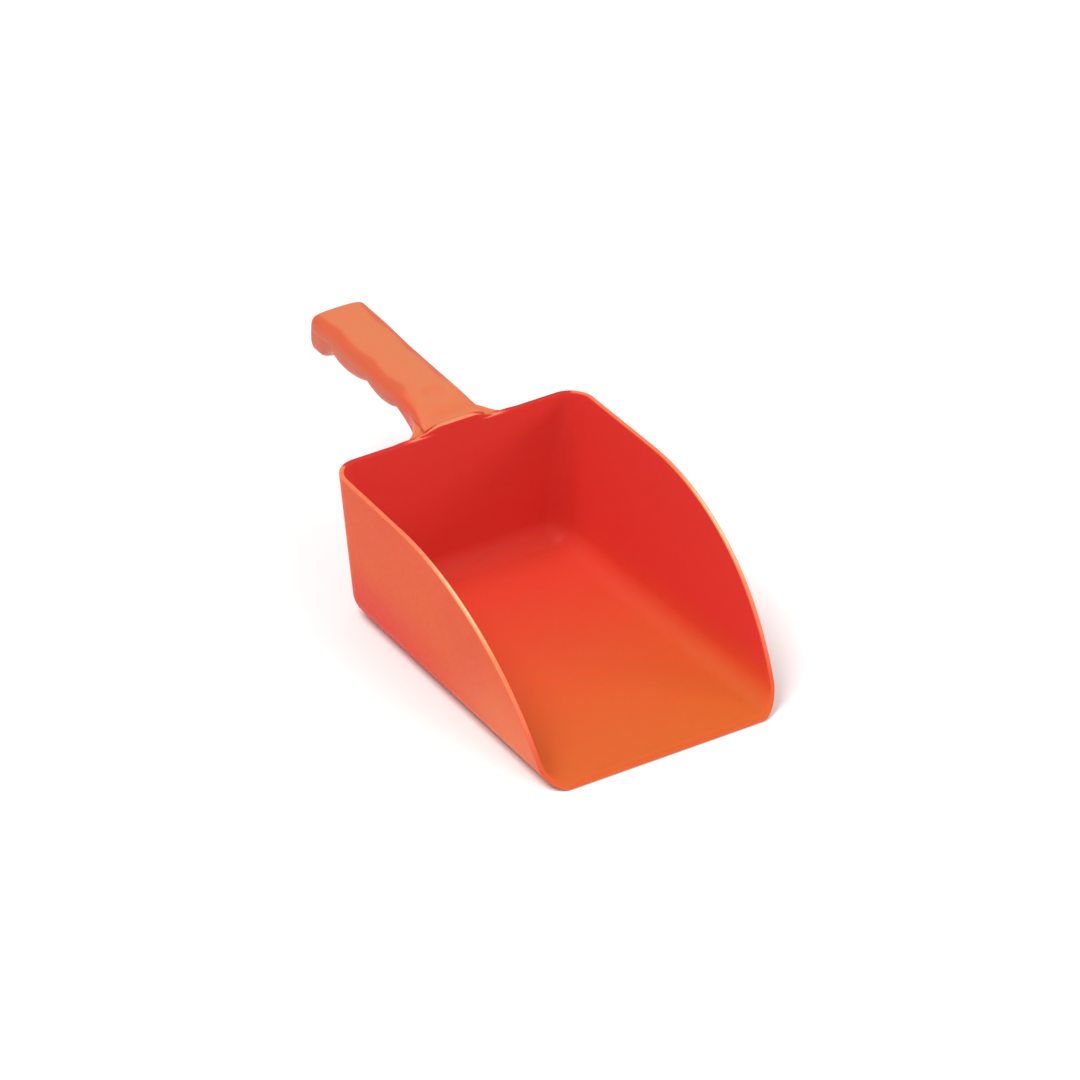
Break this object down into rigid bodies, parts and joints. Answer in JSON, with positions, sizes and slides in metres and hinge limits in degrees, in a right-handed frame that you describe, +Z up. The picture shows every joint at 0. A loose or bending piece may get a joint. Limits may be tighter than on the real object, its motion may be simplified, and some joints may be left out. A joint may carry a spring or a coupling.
{
  "type": "hand scoop",
  "caption": "Moulded plastic hand scoop: deep open bowl with curved side walls and flat floor, and a hollow finger-grooved grip made of two shells around a tang.",
  "frame": {"origin": "under the middle of the bounding box, on the flat surface that the bowl stands on", "axes": "+X across, +Y from the mouth of the bowl to the butt of the grip, +Z up"},
  "size_m": [0.1586, 0.3182, 0.101],
  "materials": {
    "bowl_plastic": "satin moulded, orange-red through the wall",
    "grip_plastic": "satin moulded, orange-red through the wall"
  },
  "bodies": {
    "root": {"scoop_bowl": "bowl_plastic", "handle_upper_shell": "grip_plastic", "handle_lower_shell": "grip_plastic"}
  },
  "joints": []
}
